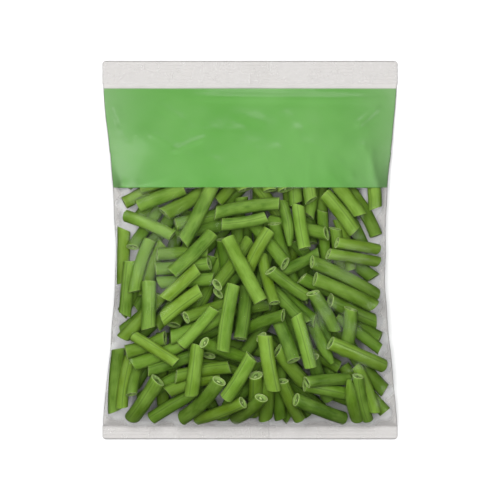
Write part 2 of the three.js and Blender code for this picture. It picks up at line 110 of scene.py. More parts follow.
SECOND_PIECES = [
    (14, -29, 5, -8, 7), (19, -12, 7, 1, 8), (37, -42, 14, -23, 8), (-28, -19, -2, 4, 8),
    (-22, -23, -6, -11, 8), (-23, 15, -40, -15, 8.7), (75, -45, 60, -36, 8.7), (81, -1, 62, 6, 7),
    (28, 24, 37, 37, 7.5), (17, 33, 25, 3, 7), (48, -7, 27, -7, 7), (73, 14, 65, -17, 7),
    (11, 16, 27, -21, 8), (56, 11, 59, -18, 7.5), (-62, 31, -42, 41, 8), (-62, 12, -37, 14, 7.5),
    (-59, 2, -43, 0, 8), (-62, -10, -42, -9, 8), (-60, -18, -40, -17, 8), (-65, -11, -69, -31, 8),
    (-34, -29, -39, -45, 7.5), (-16, -24, -37, -41, 7.5), (-20, -34, -45, -56, 9), (-33, -57, -9, -68, 7.5),
    (22, -41, -2, -51, 7.5), (15, -42, 21, -58, 8.7), (23, -36, 25, -56, 7), (75, -66, 70, -45, 7),
    (60, -95, 62, -76, 8), (68, -95, 70, -71, 7), (73, -94, 75, -69, 7), (63, -73, 36, -81, 7.5),
    (58, -82, 40, -86, 8), (4, -69, 1, -84, 8), (2, -105, 1, -84, 8.7), (13, -106, 7, -84, 8.7),
    (-2, -89, -33, -103, 7.5), (-49, -95, -34, -90, 8), (-42, -86, -25, -78, 8), (-44, -81, -39, -63, 8.7),
    (-68, -61, -51, -66, 7), (-74, -62, -56, -56, 8), (-74, -85, -77, -62, 7.5), (-62, -75, -52, -71, 8),
    (-64, -93, -45, -86, 8), (-63, -100, -45, -98, 8), (20, -63, 30, -74, 9), (-78, 24, -62, 32, 8),
    (-74, 12, -75, -7, 8), (-62, 11, -64, -4, 8), (-56, 2, -64, -11, 8),
]
THIRD_PIECES = [
    (42, -47, 25, -34, 8), (47, 22, 52, -11, 7), (66, 33, 59, 43, 8), (-45, 24, -31, 19, 8),
    (-41, -59, -21, -47, 8), (9, -37, -2, -36, 8), (46, -41, 47, -55, 8), (51, -56, 50, -40, 8),
    (37, -101, 45, -84, 8), (25, -101, 28, -90, 8), (-6, -105, -2, -92, 8), (-13, -101, -1, -93, 8),
    (-33, -69, -15, -74, 8), (-68, -84, -66, -63, 7), (-53, -50, -40, -41, 8), (11, -88, 24, -95, 8),
    (-48, 16, -24, 18, 8), (-82, -6, -80, -30, 7.5), (-70, 36, -80, 18, 7.5), (34, -69, 53, -71, 8),
    (-71, 1, -72, -14, 8), (-74, -11, -77, -25, 8), (-75, -31, -79, -48, 8),
]
SHORTEST = [26, 30, 31]
BACK_COLUMNS = 8
BACK_ROWS = 8
BACK_ACROSS = 158
BACK_BOTTOM = -93
BACK_TOP = 64
BACK_LENGTHS = [32, 44]
BACK_WIDTHS = [7.6, 9.2]
BACK_TRIES = 6
IN_CELL = [0.2, 0.8]
TIPPED = [42, 61, 90, 96]
SEED = 3505
LEHMER = 16807
MODULUS = 2147483647

state = SEED


def draw(low, high):
    """The next of the frame's random numbers."""
    global state
    state = (state * LEHMER) % MODULUS
    return low + (high - low) * (state / MODULUS)


SEAL_LOW = -BAG_LENGTH / 2 + BOTTOM_SEAL
SEAL_HIGH = BAG_LENGTH / 2 - TOP_SEAL


def along(y):
    """How far y is from the bottom seal, at 0, to the top seal, at 1."""
    return min(1.0, max(0.0, (y - SEAL_LOW) / (SEAL_HIGH - SEAL_LOW)))


def fullness(y):
    root = math.sqrt(along(y))
    return FULLEST * math.sqrt(root * math.sqrt(root)) * (1 - along(y))


def half_width(y):
    q = 4 * along(y) * (1 - along(y))
    return BAG_WIDTH / 2 - DRAWN_IN * q * math.sqrt(q)


def edge_height(y):
    return FILM + EDGE_RISE * fullness(y)


def front_height(u, y):
    return edge_height(y) + FILM + (CROWN - EDGE_RISE) * fullness(y) * math.sqrt(1 - u * u)


def back_height(u, y):
    v = max(0.0, (abs(u) - FLAT_SHARE) / (1 - FLAT_SHARE))
    return EDGE_RISE * fullness(y) * (1 - math.sqrt(1 - v * v))


def less(p, q):
    return p[0] - q[0], p[1] - q[1], p[2] - q[2]


def dot(u, v):
    return u[0] * v[0] + u[1] * v[1] + u[2] * v[2]


def distance(p, q):
    apart = less(q, p)
    return math.sqrt(dot(apart, apart))


class Piece:
    """A bean piece, held by three points on its axis: its two ends and its middle."""

    def __init__(self, ax, ay, bx, by, width, shortest, hold):
        bend = draw(-MOST_BEND, MOST_BEND)
        given = math.sqrt((bx - ax) * (bx - ax) + (by - ay) * (by - ay))
        length = max(given, shortest)
        dx = (bx - ax) / given
        dy = (by - ay) / given
        self.points = [
            [ax, ay, 0.0],
            [ax + (dx * length) / 2 - dy * bend, ay + (dy * length) / 2 + dx * bend, 0.0],
            [ax + dx * length, ay + dy * length, 0.0],
        ]
        self.radius = width / 2
        self.hold = hold
        self.home = [(p[0], p[1]) for p in self.points]
        self.slants = [draw(-MOST_SLANT, MOST_SLANT), draw(-MOST_SLANT, MOST_SLANT)]
        self.roll = draw(0, 1)
        self.rods = []


def on_axis(piece, i, s):
    return [p + (q - p) * s for p, q in zip(piece.points[i], piece.points[i + 1])]


def height_over(x, y, radius, laid):
    """The lowest height at which a piece's axis can pass over the spot (x, y)."""
    height = back_height(min(0.98, abs(x) / half_width(y)), y) + FILM + FLOOR_CLEAR + radius
    for other in laid:
        reach = radius + other.radius + CLEAR
        for p, q in zip(other.points, other.points[1:]):
            ux = q[0] - p[0]
            uy = q[1] - p[1]
            share = min(1.0, max(0.0, ((x - p[0]) * ux + (y - p[1]) * uy) / (ux * ux + uy * uy)))
            ex = x - p[0] - ux * share
            ey = y - p[1] - uy * share
            square = reach * reach - ex * ex - ey * ey
            if square > 0:
                height = max(height, p[2] + (q[2] - p[2]) * share + math.sqrt(square))
    return height


def lay_down(piece, laid):
    """Lays a piece down at the slope that lets its middle lie lowest, and returns the middle's height."""
    length = distance(piece.points[0], piece.points[2])
    heights = []
    for n in range(SPOTS + 1):
        share = (n * 2) / SPOTS
        x, y, _ = on_axis(piece, 0, share) if share < 1 else on_axis(piece, 1, share - 1)
        heights.append(height_over(x, y, piece.radius, laid))
    lowest = math.inf
    rise = 0.0
    for n in range(SLOPES * 2 + 1):
        slope = ((-1 if n % 2 else 1) * ((n + 1) // 2) * STEEPEST) / SLOPES
        middle = 0.0
        for k, height in enumerate(heights):
            middle = max(middle, height - slope * length * (k / SPOTS - 0.5))
        if middle < lowest - LOWER:
            lowest = middle
            rise = (slope * length) / 2
    piece.points[0][2] = lowest - rise
    piece.points[1][2] = lowest
    piece.points[2][2] = lowest + rise
    return lowest


def back_piece(x, y, laid):
    """A piece of the hidden back layer: of a few tried round the same spot, the one that lies lowest."""
    best = None
    lowest = math.inf
    for _ in range(BACK_TRIES):
        square = 2.0
        while square > 1 or square < 0.01:
            dx = draw(-1, 1)
            dy = draw(-1, 1)
            square = dx * dx + dy * dy
        half = draw(*BACK_LENGTHS) / 2 / math.sqrt(square)
        dx *= half
        dy *= half
        piece = Piece(x - dx, y - dy, x + dx, y + dy, draw(*BACK_WIDTHS), 0, HOLD[3])
        height = lay_down(piece, laid)
        if height < lowest:
            best = piece
            lowest = height
    return best


def lay_in():
    """Lays in the back layer first and the topmost piece last. Returns the pieces with the topmost first."""
    laid = []
    for j in range(BACK_ROWS):
        for i in range(BACK_COLUMNS):
            x = ((i + draw(*IN_CELL)) / BACK_COLUMNS - 0.5) * BACK_ACROSS
            y = BACK_BOTTOM + ((j + draw(*IN_CELL)) / BACK_ROWS) * (BACK_TOP - BACK_BOTTOM)
            laid.append(back_piece(x, y, laid))
    for depth, layer in ((2, THIRD_PIECES), (1, SECOND_PIECES), (0, TOP_PIECES)):
        for ax, ay, bx, by, width in reversed(layer):
            piece = Piece(ax, ay, bx, by, width, SHORTEST[depth], HOLD[depth])
            lay_down(piece, laid)
            laid.append(piece)
    for piece in laid:
        piece.rods = [(i, j, distance(piece.points[i], piece.points[j])) for i, j in ((0, 1), (1, 2), (0, 2))]
    return laid[::-1]


def room(x, y, radius, slack):
    """The lowest and highest place of a piece's axis at (x, y), with its round side inside the film."""
    front = radius + FILM_CLEAR
    back = radius + FLOOR_CLEAR
    u = abs(x) / half_width(y)
    outward = min(0.99, u + (SIDE_SHARE * front) / half_width(y))
    lower = y - SIDE_SHARE * front
    high = min(
        front_height(u, y) * slack - FILM - front,
        front_height(outward, y) * slack - FILM - SIDE_SHARE * front,
        front_height(u, lower) * slack - FILM - SIDE_SHARE * front,
    )
    return FILM + max(back_height(u, y) + back, back_height(outward, y) + SIDE_SHARE * back), high


def keep_inside(p, radius, slack):
    """Keeps a point of a piece's axis inside the film, moved to the bag's middle where there is no room."""
    front = radius + FILM_CLEAR
    p[1] = min(BEANS_TOP, max(SEAL_LOW + front, p[1]))
    limit = half_width(p[1]) - front
    p[0] = min(limit, max(-limit, p[0]))
    low, high = room(p[0], p[1], radius, slack)
    while low > high:
        p[0] -= p[0] * INWARD
        p[1] -= p[1] * INWARD
        low, high = room(p[0], p[1], radius, slack)
    p[2] = max(low, min(high, p[2]))


def nearest(one, two):
    """The two segments of a pair of pieces that come closest: (gap between their skins, i, s, j, t)."""
    best = None
    for i in (0, 1):
        p = one.points[i]
        u = less(one.points[i + 1], p)
        a = dot(u, u)
        for j in (0, 1):
            q = two.points[j]
            v = less(two.points[j + 1], q)
            w = less(p, q)
            b = dot(u, v)
            c = dot(v, v)
            d = dot(u, w)
            e = dot(v, w)
            denominator = a * c - b * b
            s = (b * e - c * d) / denominator if denominator > 1e-9 else 0.5
            s = 0.0 if s < 0.0 else 1.0 if s > 1.0 else s
            t = (b * s + e) / c
            if t < 0.0 or t > 1.0:
                t = 0.0 if t < 0.0 else 1.0
                s = (b * t - d) / a
                s = 0.0 if s < 0.0 else 1.0 if s > 1.0 else s
            x = (q[0] + v[0] * t) - (p[0] + u[0] * s)
            y = (q[1] + v[1] * t) - (p[1] + u[1] * s)
            z = (q[2] + v[2] * t) - (p[2] + u[2] * s)
            gap = math.sqrt(x * x + y * y + z * z) - one.radius - two.radius
            if best is None or gap < best[0]:
                best = (gap, i, s, j, t)
    return best


def shift(piece, i, s, direction, step):
    """Moves the spot at share s of segment i by step times direction."""
    first = (1 - s) / ((1 - s) * (1 - s) + s * s)
    second = s / ((1 - s) * (1 - s) + s * s)
    p, q = piece.points[i : i + 2]
    for k in (0, 1, 2):
        p[k] += direction[k] * step * first
        q[k] += direction[k] * step * second


def at_end(i, s):
    return i + s < AT_END or i + s > 2 - AT_END


def flat_loss(piece, i, s, direction):
    """How much less far a piece's flat cut end reaches along a direction than a round one would."""
    if not at_end(i, s):
        return 0.0
    p, q = piece.points[i : i + 2]
    cosine = dot(less(q, p), direction) / distance(p, q)
    return piece.radius * (1 - math.sqrt(max(0.0, 1 - cosine * cosine)))


def meet(one, two, pressed):
    """Two pieces are moved apart until they are clear, or drawn to where they press into each other."""
    gap, i, s, j, t = nearest(one, two)
    if not pressed and gap >= CLEAR:
        return
    p = on_axis(one, i, s)
    q = on_axis(two, j, t)
    length = distance(p, q)
    if length > 1e-6:
        direction = [(b - a) / length for a, b in zip(p, q)]
    else:
        direction = [0.0, 0.0, -1.0]
    wanted = CLEAR
    if pressed:
        wanted = -PRESSED - (flat_loss(one, i, s, direction) + flat_loss(two, j, t, direction))
    shift(one, i, s, direction, -(wanted - gap) / 2)
    shift(two, j, t, direction, (wanted - gap) / 2)


def keep_shape(piece):
    for i, j, rest in piece.rods:
        p, q = piece.points[i], piece.points[j]
        apart = distance(p, q)
        share = (apart - rest) / apart / 2
        for k in (0, 1, 2):
            step = (q[k] - p[k]) * share
            p[k] += step
            q[k] -= step


def neighbours(pieces):
    """The pairs whose middles are near enough to touch."""
    middles = np.array([piece.points[1] for piece in pieces])
    lengths = np.array([piece.rods[2][2] for piece in pieces])
    pairs = []
    for a in range(len(pieces)):
        apart = middles[a + 1 :] - middles[a]
        square = apart[:, 0] * apart[:, 0] + apart[:, 1] * apart[:, 1] + apart[:, 2] * apart[:, 2]
        reach = (lengths[a] + lengths[a + 1 :]) / 2 + REACH
        for b in np.nonzero(np.sqrt(square) <= reach)[0] + a + 1:
            if nearest(pieces[a], pieces[b])[0] < NEAR:
                pairs.append((a, int(b)))
    return pairs


def settle(pieces, calm, pressed):
    """Lets the laid pieces sink as the film draws in round them, and then moves them clear of each other."""
    for step in range(STEPS):
        if step % LOOK_AGAIN == 0:
            pairs = neighbours(pieces)
        slack = 1.0 if calm else 1 + LOOSE * max(0.0, 1 - step / (DRAWN_SHARE * STEPS))
        left = 1 - step / STEPS
        held = max(0.0, min(1.0, (left - LET_GO) / HOLD_FADE))
        for piece in [] if calm else pieces:
            for p, home in zip(piece.points, piece.home):
                if left > WEIGHTLESS:
                    p[2] -= WEIGHT
                p[0] += (home[0] - p[0]) * piece.hold * held
                p[1] += (home[1] - p[1]) * piece.hold * held
        for pair in pairs:
            meet(pieces[pair[0]], pieces[pair[1]], pair in pressed)
        for piece in pieces:
            keep_shape(piece)
            for p in piece.points:
                keep_inside(p, piece.radius, slack)


def joined_pairs(pieces):
    """The pairs under the top layer that are drawn into each other, in groups of a few pieces that touch."""
    group = [[i] for i in range(len(pieces))]
    joined = set()
    found = []
    for a, b in neighbours(pieces):
        if a < len(TOP_PIECES):
            continue
        gap, i, s, j, t = nearest(pieces[a], pieces[b])
        found.append((gap + (at_end(i, s) + at_end(j, t)) * END_PENALTY, a, b))
    found.sort(key=lambda entry: entry[0])
    for _, a, b in found:
        if group[a] is group[b] or len(group[a]) + len(group[b]) > LARGEST_CLUSTER:
            continue
        both = group[a] + group[b]
        for i in both:
            group[i] = both
        joined.add((a, b))
    return joined


pieces = lay_in()
settle(pieces, False, set())
settle(pieces, True, joined_pairs(pieces))


# Camera, floor and light

CAMERA_LENS = 250
SENSOR = 36
FRAMED = 0.310  # metres across, at the surface that the bag lies on
CAMERA_HEIGHT = FRAMED * CAMERA_LENS / SENSOR
CLIP_END = 20
FLOOR_HALF = 3.0
FLOOR_LOW = -0.0004
FLOOR_WHITE = (0.7, 0.7, 0.7)
WORLD_WHITE = (1, 1, 1, 1)
WORLD_STRENGTH = 0.12

# The soft boxes, as (name, place, size, power, shows in gloss, lights matt surfaces).
LIGHTS = [
    ("key", (-0.12, 0.2, 1.5), (1.3, 1.3), 48, False, True),
    ("left_box", (-1.15, 0.55, 0.85), (0.5, 1.1), 3.4, True, False),
    ("right_box", (1.15, -0.1, 0.9), (0.4, 1.1), 3, True, False),
    ("top_box", (0.1, 1.3, 0.75), (1.2, 0.4), 3.5, True, False),
]


def in_scene(name, data):
    """A new object with that data, linked to the scene."""
    holder = bpy.data.objects.new(name, data)
    bpy.context.collection.objects.link(holder)
    return holder


def make_camera():
    camera = in_scene("camera", bpy.data.cameras.new("camera"))
    camera.data.lens = CAMERA_LENS
    camera.data.clip_end = CLIP_END
    camera.location = (0, 0, CAMERA_HEIGHT)
    bpy.context.scene.camera = camera


def area_light(name, place, size, power, in_gloss, on_matt):
    """A soft box that faces the bag's middle."""
    light = bpy.data.lights.new(name, "AREA")
    light.shape = "RECTANGLE"
    light.size, light.size_y = size
    light.energy = power
    holder = in_scene(name, light)
    holder.location = place
    holder.rotation_euler = (-Vector(place)).to_track_quat("-Z", "Y").to_euler()
    holder.visible_glossy = in_gloss
    holder.visible_diffuse = on_matt


def make_stage():
    floor = bpy.data.meshes.new("floor")
    corners = [(x * FLOOR_HALF, y * FLOOR_HALF, FLOOR_LOW) for x, y in ((-1, -1), (1, -1), (1, 1), (-1, 1))]
    floor.from_pydata(corners, [], [(0, 1, 2, 3)])
    holder = in_scene("floor", floor)
    white = Nodes("floor_white")
    white.shade({"Base Color": FLOOR_WHITE, "Roughness": 0.9})
    floor.materials.append(white.material)
    holder.visible_glossy = False  # clear film would mirror it on its steep parts
    holder.visible_diffuse = False  # keeps the gaps in the heap deep
    for light in LIGHTS:
        area_light(*light)
    world = bpy.data.worlds.new("studio")
    world.use_nodes = True
    background = world.node_tree.nodes["Background"].inputs
    background["Color"].default_value = WORLD_WHITE
    background["Strength"].default_value = WORLD_STRENGTH
    world.cycles_visibility.glossy = False  # clear film would mirror it as a veil over the beans
    bpy.context.scene.world = world
    bpy.context.scene.view_settings.view_transform = "Standard"


# Materials


class Nodes:
    """Short calls for building a material's node tree."""

    def __init__(self, name):
        self.material = bpy.data.materials.new(name)
        self.material.use_nodes = True
        self.tree = self.material.node_tree
        self.shader = self.tree.nodes["Principled BSDF"]
        self.output = self.tree.nodes["Material Output"]

    def node(self, kind, inputs=(), **settings):
        node = self.tree.nodes.new(kind)
        for key, value in settings.items():
            setattr(node, key, value)
        for key, value in dict(inputs).items():
            self.put(node.inputs[key], value)
        return node

    def put(self, socket, value):
        if isinstance(value, bpy.types.NodeSocket):
            self.tree.links.new(value, socket)
        elif isinstance(value, tuple) and len(value) == 3 and socket.type == "RGBA":
            socket.default_value = (*value, 1)
        else:
            socket.default_value = value

    def shade(self, inputs):
        for key, value in inputs.items():
            self.put(self.shader.inputs[key], value)

    def attribute(self, name):
        return self.node("ShaderNodeAttribute", attribute_name=name, attribute_type="GEOMETRY").outputs["Fac"]

    def math(self, operation, a, b=0.0):
        return self.node("ShaderNodeMath", {0: a, 1: b}, operation=operation).outputs[0]

    def noise(self, vector, scale, detail=3.0, rough=0.5):
        inputs = {"Vector": vector, "Scale": scale, "Detail": detail, "Roughness": rough}
        return self.node("ShaderNodeTexNoise", inputs).outputs["Fac"]

    def ramp(self, value, low, high, a=0.0, b=1.0):
        """value from low to high, smoothly, as a to b."""
        inputs = {"Value": value, "From Min": low, "From Max": high, "To Min": a, "To Max": b}
        return self.node("ShaderNodeMapRange", inputs, interpolation_type="SMOOTHSTEP").outputs["Result"]

    def mix(self, factor, a, b, blend="MIX"):
        node = self.node("ShaderNodeMix", data_type="RGBA", blend_type=blend)
        self.put(node.inputs["Factor"], factor)
        self.put(node.inputs["A"], a)
        self.put(node.inputs["B"], b)
        return node.outputs["Result"]

    def mix_shaders(self, factor, a, b):
        return self.node("ShaderNodeMixShader", {0: factor, 1: a, 2: b}).outputs[0]

    def joined(self, x, y, z):
        return self.node("ShaderNodeCombineXYZ", {0: x, 1: y, 2: z}).outputs[0]

    def bump(self, height, strength, metres, normal=None):
        inputs = {"Height": height, "Strength": strength, "Distance": metres}
        if normal:
            inputs["Normal"] = normal
        return self.node("ShaderNodeBump", inputs).outputs["Normal"]

    def place(self):
        return self.node("ShaderNodeTexCoord").outputs["Object"]


def linear(*colour):
    """A colour given as 0 to 255, as a screen shows it, in Blender's linear values."""
    return tuple(((c / 255 + 0.055) / 1.055) ** 2.4 for c in colour)


SKIN_LIGHT = linear(126, 158, 70)
SKIN_MID = linear(82, 116, 24)
SKIN_DEEP = linear(56, 88, 14)
SKIN_YELLOW = linear(96, 122, 16)
SUTURE = linear(46, 72, 16)
SKIN_SHADE = (0.5, 0.56, 0.4)  # painted shade: what the skin's colour is multiplied by, for the pieces deepest in the heap


def bean_skin():
    """Smooth, semi-matt pod skin. Fine streaks run along each piece, and each piece has its own green,
    darkened by painted shade the deeper it lies in the heap.
    """
    nodes = Nodes("bean_skin")
    names = ("lengthwise", "round_x", "round_y", "tint", "warmth")
    lengthwise, round_x, round_y, tint, warmth = (nodes.attribute(name) for name in names)
    offset = nodes.math("MULTIPLY", tint, 40.0)

    def grain(around, length, scale, detail, rough=0.5):
        """Noise in the pod's own round and length, and from another place on each piece."""
        spot = nodes.joined(
            nodes.math("ADD", nodes.math("MULTIPLY", round_x, around), offset),
            nodes.math("MULTIPLY", round_y, around),
            nodes.math("MULTIPLY", lengthwise, length),
        )
        return nodes.noise(spot, scale, detail, rough)

    streak = grain(2.2, 0.10, 1.6, 4.0, 0.6)
    patch = grain(0.6, 0.09, 1.0, 2.0)
    speck = grain(4.0, 1.0, 3.2, 2.0, 0.7)
    off_suture = nodes.math("ABSOLUTE", round_y)
    base = nodes.mix(nodes.ramp(tint, 0.0, 1.0), SKIN_DEEP, SKIN_MID)
    base = nodes.mix(nodes.math("MULTIPLY", warmth, 0.75), base, SKIN_YELLOW)
    for mask, low, high, most, colour in (
        (patch, 0.25, 0.75, 0.5, SKIN_LIGHT),
        (streak, 0.3, 0.8, 0.3, SKIN_LIGHT),
        (streak, 0.5, 0.2, 0.2, SKIN_DEEP),
        (speck, 0.6, 0.78, 0.22, SKIN_LIGHT),
        (off_suture, 0.36, 0.12, 0.3, SKIN_LIGHT),
        (off_suture, 0.14, 0.02, 0.5, SUTURE),
    ):
        base = nodes.mix(nodes.ramp(mask, low, high, 0.0, most), base, colour)
    base = nodes.mix(nodes.attribute("near_cut"), base, SKIN_LIGHT)
    # The skin's colour is multiplied darker for pieces deep in the heap: painted shade.
    nodes.shade({
        "Base Color": nodes.mix(nodes.attribute("painted_depth_shade"), base, SKIN_SHADE, blend="MULTIPLY"),
        "Roughness": nodes.ramp(speck, 0.3, 0.7, 0.36, 0.5),
        "Subsurface Weight": 0.12,
        "Subsurface Scale": 0.004,
        "Subsurface Radius": (0.6, 1.0, 0.25),
        "Specular IOR Level": 0.42,
        "Normal": nodes.bump(speck, 0.25, 0.0002, nodes.bump(streak, 0.35, 0.0005)),
    })
    return nodes.material


CUT_RIM = linear(160, 178, 118)
CUT_FLESH = linear(118, 148, 72)
# painted shade: the colour of the hollow in each cut, darker than the flesh
HOLLOW_PAINTED_SHADE = linear(60, 88, 26)
SEED_GREEN = linear(144, 168, 96)
SEED_PALE = linear(168, 184, 128)


def bean_flesh():
    """The cut face of a pod: a pale rim, moist flesh and a hollow coloured darker as painted shade, with fine
    marks of the cut.
    """
    nodes = Nodes("bean_flesh")
    depth = nodes.attribute("core")
    grain = nodes.noise(nodes.place(), 1400.0, 3.0, 0.6)
    base = nodes.mix(nodes.ramp(depth, 0.05, 0.35), CUT_RIM, CUT_FLESH)
    base = nodes.mix(nodes.ramp(depth, 0.55, 0.85), base, HOLLOW_PAINTED_SHADE)
    nodes.shade({
        "Base Color": nodes.mix(nodes.ramp(grain, 0.35, 0.7, 0.0, 0.3), base, CUT_RIM),
        "Roughness": nodes.ramp(grain, 0.3, 0.7, 0.25, 0.5),
        "Subsurface Weight": 0.25,
        "Subsurface Scale": 0.003,
        "Subsurface Radius": (0.8, 1.0, 0.4),
        "Normal": nodes.bump(grain, 0.4, 0.0003),
    })
    return nodes.material


def seed_flesh():
    """The small unripe seeds that show in the cut ends."""
    nodes = Nodes("seed")
    grain = nodes.noise(nodes.place(), 900.0, 2.0)
    nodes.shade({
        "Base Color": nodes.mix(nodes.ramp(grain, 0.35, 0.65), SEED_GREEN, SEED_PALE),
        "Roughness": nodes.ramp(grain, 0.3, 0.7, 0.25, 0.4),
        "Normal": nodes.bump(grain, 0.2, 0.0002),
    })
    return nodes.material


FILM_HAZE = linear(203, 200, 197)
# painted shade: the dark colour given to the back film under the heap
HEAP_PAINTED_SHADE = linear(40, 52, 28)
# painted shade: the grey of the film along its side folds and cut edges
FOLD_PAINTED_SHADE = linear(90, 89, 90)
SIDE_MILK = 0.34  # how milky film is where it is seen edge on
SIDE_FROM = 0.62  # and the slant from which that begins
MOST_GLOSS = 0.3


def film_plastic():
    """Clear film: clearest where it touches the beans, milky where it stands off them, glossy all over."""
    nodes = Nodes("film")
    haze = nodes.attribute("haze")
    place = nodes.place()
    crinkle = nodes.noise(place, 55.0, 4.0, 0.55)
    fine = nodes.noise(place, 260.0, 3.0, 0.6)
    normal = nodes.bump(fine, 0.15, 0.0003, nodes.bump(crinkle, 0.3, 0.0014))
    uneven = nodes.math("MULTIPLY", haze, nodes.ramp(crinkle, 0.3, 0.7, 0.9, 1.12))
    aslant = nodes.node("ShaderNodeLayerWeight", {"Blend": 0.5}).outputs["Facing"]
    uneven = nodes.math("MAXIMUM", uneven, nodes.ramp(aslant, SIDE_FROM, 1.0, 0.0, SIDE_MILK))
    # painted shade: under the heap the back film's milk is mixed to a dark green-grey
    milk_and_heap_shade = nodes.mix(nodes.attribute("wet"), FILM_HAZE, HEAP_PAINTED_SHADE)
    nodes.shade({
        "Base Color": nodes.mix(nodes.ramp(haze, 0.5, HAZE_FOLD), milk_and_heap_shade, FOLD_PAINTED_SHADE),
        "Roughness": 0.35,
        "Specular IOR Level": 0.2,
    })
    clear = nodes.node("ShaderNodeBsdfTransparent").outputs[0]
    milky = nodes.mix_shaders(uneven, clear, nodes.shader.outputs[0])
    gloss = {"Roughness": 0.19, "Color": (1.0, 1.0, 1.0), "Normal": normal}
    mirrored = nodes.node("ShaderNodeBsdfGlossy", gloss).outputs[0]
    edge_on = nodes.node("ShaderNodeFresnel", {"IOR": 1.35, "Normal": normal}).outputs[0]
    surface = nodes.mix_shaders(nodes.math("MINIMUM", edge_on, MOST_GLOSS), milky, mirrored)
    nodes.put(nodes.output.inputs["Surface"], surface)
    return nodes.material


PRINT_GREEN = linear(76, 132, 54)
PRINT_PALE = linear(88, 140, 68)


def header_ink():
    """Solid green ink on the film, a little uneven as printed film is."""
    nodes = Nodes("header_print")
    place = nodes.place()
    cloud = nodes.noise(place, 14.0, 3.0)
    mottle = nodes.noise(place, 420.0, 3.0, 0.65)
    base = nodes.mix(nodes.ramp(cloud, 0.42, 0.66), PRINT_GREEN, PRINT_PALE)
    nodes.shade({
        "Base Color": nodes.mix(nodes.ramp(mottle, 0.3, 0.7, 0.0, 0.12), base, PRINT_PALE),
        "Roughness": nodes.ramp(mottle, 0.3, 0.7, 0.34, 0.46),
        "Normal": nodes.bump(mottle, 0.1, 0.0002),
    })
    return nodes.material


# Bean pieces

ROUND = 24  # points round a pod
GROOVES = {0: 0.2, 12: 0.1}  # how deep the two sutures are, in millimetres, at these points of the round
RINGS = 15
SKIN_SHARES = [0.012, 0.035, *(n / (RINGS - 1) for n in range(1, RINGS - 1)), 0.965, 0.988]
RIM = 0.14  # millimetres, how far the cut edge is rounded
HOLLOW = (0.52, 0.3)  # half the hollow's width and height at the cut, in shares of the pod's radius
HOLLOW_FLOOR = (0.416, 0.21)
HOLLOW_DEEP = 0.9
PALE_CUT = 0.5  # how pale the skin is at a cut, and within how many millimetres that fades
PALE_FADE = 0.8
SEED_HALF = (0.3, 0.2)  # half a seed's width and height, in shares of the pod's radius
SEED_DEEP = 0.6  # half its length, in millimetres
SEED_SUNK = 0.1
SEED_SHARE = 0.6  # of the cuts that show one
FRAME_SLACK = 0.02  # millimetres between a corner of the frame's solid and where the rule puts it
GROWTH_SEED = 1000
LAYERS = ("lengthwise", "round_x", "round_y", "tint", "warmth", "painted_depth_shade", "near_cut", "core")


def bezier(piece):
    a, m, b = (Vector(p) for p in piece.points)
    handle = 2 * m - (a + b) / 2

    def at(t):
        return a * (1 - t) ** 2 + handle * (2 * t * (1 - t)) + b * t**2

    def direction(t):
        return ((handle - a) * (1 - t) + (b - handle) * t).normalized()

    side = (b - a).cross(Vector((0, 0, 1))).normalized()
    return at, direction, side


def section(direction, side):
    """Two directions across a pod, the first level."""
    across = (side - direction * side.dot(direction)).normalized()
    return across, across.cross(direction)


def cad_rings(piece, tipped):
    """The corners of the solid's two end rings, by which its node is known."""
    at, direction, side = bezier(piece)
    corners = []
    for end in (0, 1):
        across, up = section(direction(end), side)
        size = piece.radius * (TIP_SHARE if tipped and end else 1)
        slant = 0.0 if tipped and end else piece.slants[end]
        for k in range(SIDES):
            angle = 2 * math.pi * (k + piece.roll) / SIDES
            x = size * math.cos(angle)
            y = size * math.sin(angle) * FLATTENED
            corners.append(at(end) + across * x + up * y + direction(end) * (x * slant))
    return corners


def nodes_of_pieces():
    """The CAD node that holds each piece: the one that has the most of its end rings' corners."""
    beans = [name for name in sorted(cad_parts) if name.startswith("bean")]
    corners = [(vertex.co, name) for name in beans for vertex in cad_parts[name].data.vertices]
    tree = KDTree(len(corners))
    for index, (place, _) in enumerate(corners):
        tree.insert(place, index)
    tree.balance()
    owners = []
    for number, piece in enumerate(pieces):
        votes = {}
        for corner in cad_rings(piece, number in TIPPED):
            _, index, gap = tree.find(corner * MM)
            if gap < FRAME_SLACK * MM:
                votes[corners[index][1]] = votes.get(corners[index][1], 0) + 1
        if not votes:
            raise RuntimeError(f"piece {number} isn't in the frame")
        owners.append(max(votes, key=votes.get))
    return owners


SHALLOW = 2.0  # millimetres under the film, to where pieces have their full colour, without painted shade
DEEPEST = 16.0  # and how much further down they have their darkest painted shade


class Growth:
    """What differs from one piece to the next, drawn once for each piece."""

    def __init__(self, number):
        rng = np.random.default_rng(GROWTH_SEED + number)
        self.tint = rng.uniform()
        self.warmth = max(0.0, rng.uniform(-0.6, 1.0))
        self.waves = rng.uniform(0, 2 * math.pi, 3)
        self.swell = rng.uniform(0.006, 0.016, 2)
        self.larger_end = rng.uniform(-0.025, 0.025)
        self.suture_at = rng.uniform(0, 2 * math.pi)
        self.shrunk = rng.uniform(0.2, 0.55)  # how deep the flesh has drawn in at a cut, in millimetres
        self.seed_shift = rng.uniform(-0.25, 0.25, 2)
        self.has_seed = rng.uniform(size=2) < SEED_SHARE
        x, y, z = pieces[number].points[1]
        buried = front_height(x / half_width(y), y) - FILM - z - pieces[number].radius
        self.painted_depth_shade = min(1.0, max(0.0, (buried - SHALLOW) / DEEPEST))  # painted shade: the deeper a piece lies under the film, the darker its skin
